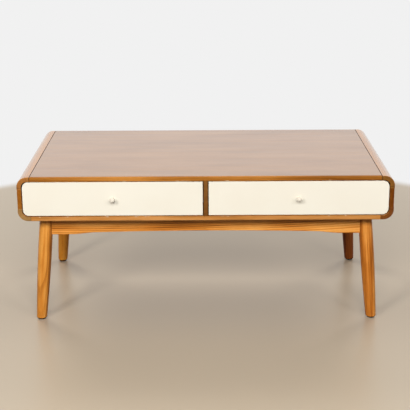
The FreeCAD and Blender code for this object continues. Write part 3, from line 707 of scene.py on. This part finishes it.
def screw_tree():
    """A cross-headed screw on every point, driven the way that the point says."""
    tree, given, identifiers = new_tree("cross_head_screw", (
        ("Points", "NodeSocketGeometry"), ("Head Radius", "NodeSocketFloat"),
        ("Head Height", "NodeSocketFloat"), ("Domed", "NodeSocketBool"),
        ("Shank Radius", "NodeSocketFloat"), ("Length", "NodeSocketFloat"),
        ("Material", "NodeSocketMaterial")))
    head = screw_head(tree, given)
    shank, thread = screw_shank(tree, given)
    screw = node(tree, "GeometryNodeJoinGeometry")
    for part in (thread, shank, head):
        tree.links.new(part, screw.inputs[0])
    facing = node(tree, "GeometryNodeInputNamedAttribute", {"Name": "facing"}, data_type="FLOAT_VECTOR")
    turn = node(tree, "FunctionNodeAlignRotationToVector", {"Vector": facing.outputs[0]}, axis="Z")
    copies = node(tree, "GeometryNodeInstanceOnPoints", {
        "Points": given["Points"], "Instance": screw.outputs[0], "Rotation": turn.outputs[0]})
    close_tree(tree, copies.outputs[0], given["Material"])
    return tree, identifiers


screw_shape, screw_inputs = screw_tree()
screw_zinc = metal("screw_finish", (0.60, 0.59, 0.56), dull=0.30, brush=(300.0, 300.0, 300.0))
# Each kind of screw: whether its head is domed, how high the head is, and the shank's radius.
BLOCK_SCREW = (True, 0.0030, 0.0020)
FLUSH_SCREW = (False, 0.0018, 0.0015)
KNOB_SCREW = (True, 0.0025, 0.0020)
SCREW_SETS = (
    ("frame_screws", "table", BLOCK_SCREW),
    ("slide_rail_screws", "table", FLUSH_SCREW),
    ("back_panel_screws", "table", FLUSH_SCREW),
    ("left_runner_screws", "left_drawer", FLUSH_SCREW),
    ("right_runner_screws", "right_drawer", FLUSH_SCREW),
    ("left_knob_screw", "left_drawer", KNOB_SCREW),
    ("right_knob_screw", "right_drawer", KNOB_SCREW))
for cad_name, body, (domed, head_height, shank_radius) in SCREW_SETS:
    head_seats, directions, lengths, head_radii = zip(*screws_in(cad_name))
    seats = bpy.data.meshes.new(cad_name + "_seats")
    seats.from_pydata(head_seats, [], [])
    ways = seats.attributes.new("facing", "FLOAT_VECTOR", "POINT")
    for mark, direction in zip(ways.data, directions):
        mark.vector = direction
    screws = grow(cad_name + "_crossed", screw_shape, screw_inputs, {
        "Head Radius": head_radii[0], "Head Height": head_height, "Domed": domed,
        "Shank Radius": shank_radius, "Length": lengths[0], "Material": screw_zinc},
        screw_zinc, body, start=seats)
    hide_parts(cad_name)


# Drawer fronts and knobs
# Inset fronts with two round corners each, sprayed in cream satin paint, with a small turned knob.
# The paint is worn along the fronts' edges, where the wood shows through.
CREAM = (0.915, 0.855, 0.720)
# The knob's cream is the drawers' cream painted darker: painted shade that holds back the stronger light on
# the knob's top.
SHADED_KNOB_CREAM = (0.840, 0.765, 0.635)
YELLOWED = (0.985, 0.975, 0.965)
WORN_WOOD = (0.46, 0.27, 0.12)
ORANGE_PEEL = (420.0, 420.0, 420.0)
PAINT_CLOUDS = ((7.0, 7.0, 9.0), 3.0)
PAINT_TONE_SPAN = (0.35, 0.65)
PAINT_DULL_SPAN = (0.3, 0.7)
PAINT_DULL = (0.34, 0.44)

# The wear's ragged line: its noise, how far it swings, how far out it stays, and how soft its edge is.
RAGGED = ((55.0, 55.0, 55.0), 4.0, 0.7)
PAINT_WEAR = 0.0016
WEAR_SWING = PAINT_WEAR * 3.4
WEAR_OUT = PAINT_WEAR * 2.2
WEAR_EDGE = (-0.0003, 0.0002)
front_low, front_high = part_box("right_drawer_front")
front_middle = (front_low + front_high) / 2
front_half = (front_high - front_low) / 2


def worn_rim(tree, place):
    """Where the paint of a drawer front has gone: a ragged line along its outer edges."""
    parts = split(tree, place)
    out = work_out(tree, "SUBTRACT", work_out(tree, "ABSOLUTE", parts["X"]), front_middle.x)
    side_gap = work_out(tree, "SUBTRACT", work_out(tree, "ABSOLUTE", out), front_half.x)
    above = work_out(tree, "ABSOLUTE", work_out(tree, "SUBTRACT", parts["Z"], front_middle.z))
    top_gap = work_out(tree, "SUBTRACT", above, front_half.z)
    rim = work_out(tree, "MAXIMUM", side_gap, top_gap)
    ragged = stretched_noise(tree, place, *RAGGED)[0]
    worn_to = work_out(tree, "MULTIPLY_ADD", ragged, WEAR_SWING, -WEAR_OUT)
    return spread(tree, work_out(tree, "ADD", rim, worn_to), *WEAR_EDGE, 0.0, 1.0)


def cream_paint(name, colour, worn_edges):
    """Satin paint with a faint orange peel; worn_edges thins it at the rim of the drawer fronts."""
    material, tree = new_finish(name)
    place = node(tree, "ShaderNodeTexCoord").outputs["Object"]
    peel = stretched_noise(tree, place, ORANGE_PEEL)[0]
    cloud = stretched_noise(tree, place, *PAINT_CLOUDS)[0]
    older = [part * tint for part, tint in zip(colour, YELLOWED)]
    shade = tone_ramp(tree, cloud, tuple(zip(PAINT_TONE_SPAN, (older, colour))))
    if worn_edges:
        shade = mix_colours(tree, worn_rim(tree, place), shade, WORN_WOOD)
    shader = node(tree, "ShaderNodeBsdfPrincipled", {
        "Base Color": shade, "Normal": relief(tree, peel, strength=0.12, depth=0.0001), "IOR": 1.5,
        "Roughness": spread(tree, cloud, *PAINT_DULL_SPAN, *PAINT_DULL)})
    node(tree, "ShaderNodeOutputMaterial", {"Surface": shader.outputs[0]})
    return material


front_paint = cream_paint("drawer_front_finish", CREAM, True)
knob_paint = cream_paint("knob_finish", SHADED_KNOB_CREAM, False)
for side in ("left", "right"):
    finish_node(side + "_drawer_front", front_paint)
    finish_node(side + "_drawer_knob", knob_paint)


# Drawer boxes
# Pale plywood sides housed in the front, a back of the same plywood, and a thin bottom in grooves.
# One thin coat of lacquer covers them, and the grain runs along the sides and the back.
PALE_TONES = ((0.47, 0.30, 0.155), (0.60, 0.42, 0.245), (0.70, 0.52, 0.335))
BOX_GRAIN = {"ring": 0.010, "figure": 0.25, "clouds": 0.2, "pores": 0.15, "dull": 0.48, "lacquer": 0.2}
BOX_SIDE_STRETCH = 7.0
for side in ("left", "right"):
    for number, board in enumerate(("inner_side", "outer_side")):
        finish_node("%s_drawer_%s" % (side, board), wood(
            "%s_%s_finish" % (side, board), PALE_TONES, along="y",
            shift=(BOX_SIDE_STRETCH + number, 0.0, 0.0), heart=(0.6, 0.5), **BOX_GRAIN))
    finish_node(side + "_drawer_back", wood(
        side + "_drawer_back_finish", PALE_TONES, shift=(9.0, 0.3, 0.0), heart=(0.7, 0.6), **BOX_GRAIN))
    finish_node(side + "_drawer_bottom", wood(
        side + "_drawer_bottom_finish", PALE_TONES, shift=(11.0, 0.0, 0.3), heart=(0.8, 0.9), ring=0.013,
        wander=0.06, figure=0.35, clouds=0.2, pores=0.15, dull=0.5, lacquer=0.15))


# Floor and backdrop
# A plain pale floor round the table, which turns into a white backdrop on all sides.
# The backdrop is white to the camera, in reflections white behind the table and dark in front of it,
# and only a weak light of its own.
FLOOR_HALF = 12.0
FLOOR_RADIUS = 1.50
FLOOR_FADE = 0.05
FLOOR_DULL = 0.32

# The floor's colour to the camera, and the greyer one with which it lights the table from below.
FLOOR_COLOUR = (0.530, 0.435, 0.320)
FLOOR_BOUNCE = (0.200, 0.181, 0.156)

# How bright the backdrop is to the camera, in reflections in front of the table, and as a light,
# and from where to where, towards the back, its reflection turns from dark to bright.
BACKDROP = 0.88
DARK_ROOM = 0.12
AMBIENT = 0.17
ROOM_SPAN = (-0.1, 0.6)


def backdrop_light(tree, place):
    """How bright the backdrop is in the direction of a place, for the camera, a reflection or a light."""
    rays = node(tree, "ShaderNodeLightPath").outputs
    in_mirror = work_out(tree, "MAXIMUM", rays["Is Glossy Ray"], rays["Is Transmission Ray"])
    behind = split(tree, work_out_place(tree, "NORMALIZE", place))["Y"]
    mirrored = spread(tree, behind, *ROOM_SPAN, DARK_ROOM, BACKDROP, "SMOOTHSTEP")
    unseen = spread(tree, in_mirror, 0.0, 1.0, AMBIENT, mirrored)
    return node(tree, "ShaderNodeMix", {
        "Factor": rays["Is Camera Ray"], 2: unseen, 3: BACKDROP}, data_type="FLOAT").outputs[0]


floor_mesh = bpy.data.meshes.new("floor")
floor_mesh.from_pydata(
    [(-FLOOR_HALF, -FLOOR_HALF, 0.0), (FLOOR_HALF, -FLOOR_HALF, 0.0),
     (FLOOR_HALF, FLOOR_HALF, 0.0), (-FLOOR_HALF, FLOOR_HALF, 0.0)], [], [(0, 1, 2, 3)])
floor = bpy.data.objects.new("floor", floor_mesh)
bpy.context.scene.collection.objects.link(floor)
floor_finish, ground = new_finish("floor_finish")
spot = node(ground, "ShaderNodeTexCoord").outputs["Object"]
away = node(ground, "ShaderNodeVectorMath", {0: spot}, operation="LENGTH").outputs["Value"]
seen = node(ground, "ShaderNodeLightPath").outputs["Is Camera Ray"]
floor_shade = mix_colours(ground, seen, (*FLOOR_BOUNCE, 1.0), FLOOR_COLOUR)
paint = node(ground, "ShaderNodeBsdfPrincipled", {"Base Color": floor_shade, "Roughness": FLOOR_DULL})
glow = node(ground, "ShaderNodeEmission", {"Strength": backdrop_light(ground, spot)})
blend = node(ground, "ShaderNodeMixShader", {
    0: spread(ground, away, FLOOR_RADIUS - FLOOR_FADE, FLOOR_RADIUS + FLOOR_FADE, 0.0, 1.0, "SMOOTHSTEP"),
    1: paint.outputs[0], 2: glow.outputs[0]})
node(ground, "ShaderNodeOutputMaterial", {"Surface": blend.outputs[0]})
floor_mesh.materials.append(floor_finish)

world = bpy.data.worlds.new("studio")
world.use_nodes = True
bpy.context.scene.world = world
sky = world.node_tree
sky.nodes.clear()
look = node(sky, "ShaderNodeTexCoord").outputs["Generated"]
backdrop = node(sky, "ShaderNodeBackground", {
    "Color": (1.0, 1.0, 1.0, 1.0), "Strength": backdrop_light(sky, look)})
node(sky, "ShaderNodeOutputWorld", {"Surface": backdrop.outputs[0]})


# Lamps
# Soft lamps round the table: a broad, strong one high above the camera, a weaker one on its left and a
# faint one on its right, as the knobs' shadows show, and a faint one overhead. Two high ones behind the
# table light its top, back and sides.
AIM = Vector((0.0, -0.25, 0.35))


def softbox(name, place, width, height, power):
    """A level area lamp that looks at the front of the table, with no glare of its own on the lacquer."""
    data = bpy.data.lights.new(name, "AREA")
    data.shape = "RECTANGLE"
    data.size = width
    data.size_y = height
    data.energy = power
    lamp = bpy.data.objects.new(name, data)
    bpy.context.scene.collection.objects.link(lamp)
    lamp.visible_glossy = False
    lamp.location = place
    lamp.rotation_mode = "QUATERNION"
    lamp.rotation_quaternion = (Vector(place) - AIM).to_track_quat("Z", "Y")


softbox("front_lamp", (0.15, -4.20, 2.80), width=2.40, height=1.35, power=134.0)
softbox("left_lamp", (-2.10, -3.46, 2.33), width=0.90, height=1.10, power=67.5)
softbox("right_lamp", (2.30, -3.02, 2.08), width=1.10, height=0.95, power=25.5)
softbox("top_lamp", (0.0, -0.20, 3.20), width=1.80, height=1.80, power=8.0)
softbox("back_left_lamp", (-1.90, 2.50, 2.60), width=1.20, height=1.20, power=46.0)
softbox("back_right_lamp", (1.90, 2.50, 2.60), width=1.20, height=1.20, power=38.0)


# Camera
# Where the photograph was taken from: straight in front of the table and 1.3 m above the floor,
# looking down a little, with a long lens.
PICTURE_SIDE = 410
FOCAL_PIXELS = 1093.6
SENSOR = 36.0
EYE = Vector((-0.00153, -3.3428, 1.29586))
PITCH = 0.2946
YAW = -0.0002
ROLL = -0.005
camera_data = bpy.data.cameras.new("camera")
camera_data.sensor_width = SENSOR
camera_data.lens = FOCAL_PIXELS / PICTURE_SIDE * SENSOR
camera = bpy.data.objects.new("camera", camera_data)
bpy.context.scene.collection.objects.link(camera)
turned = Matrix.Rotation(-YAW, 3, "Z")
tilted = Matrix.Rotation(math.pi / 2 - PITCH, 3, "X")
rolled = Matrix.Rotation(ROLL, 3, "Z")
camera.matrix_world = Matrix.Translation(EYE) @ (turned @ tilted @ rolled).to_4x4()
bpy.context.scene.camera = camera
bpy.context.scene.view_settings.view_transform = "Standard"
